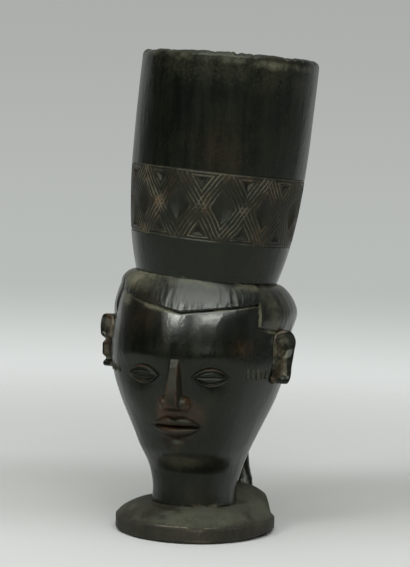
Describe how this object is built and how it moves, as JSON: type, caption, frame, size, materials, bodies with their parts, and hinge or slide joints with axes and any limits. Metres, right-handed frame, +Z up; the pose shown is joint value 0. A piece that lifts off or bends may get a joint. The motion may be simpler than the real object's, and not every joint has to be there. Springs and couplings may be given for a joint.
{
  "type": "carved head cup",
  "caption": "Tall wooden drinking cup that rises from the crown of a carved head on a round foot, with a band of lozenges and a strap handle behind the neck.",
  "frame": {"origin": "centre of the foot's flat underside", "axes": "+Z up, the carved face looks along -Y, and the head's own left is +X"},
  "size_m": [0.0881, 0.0818, 0.202],
  "materials": {
    "black_wood": "blackened and oiled, satin",
    "polished_wood": "blackened and polished by handling",
    "worn_wood": "worn to brown, with pale dust in the cuts",
    "dusty_wood": "dry, with settled dust"
  },
  "bodies": {
    "root": {"neck": "black_wood", "head": "black_wood", "left_ear": "black_wood", "right_ear": "black_wood", "cup": "black_wood", "handle": "black_wood", "hair_cap": "polished_wood", "left_eye": "polished_wood", "right_eye": "polished_wood", "nose": "worn_wood", "upper_lip": "worn_wood", "lower_lip": "worn_wood", "left_temple_marks": "worn_wood", "right_temple_marks": "worn_wood", "pattern_band": "worn_wood", "foot": "dusty_wood"}
  },
  "joints": []
}
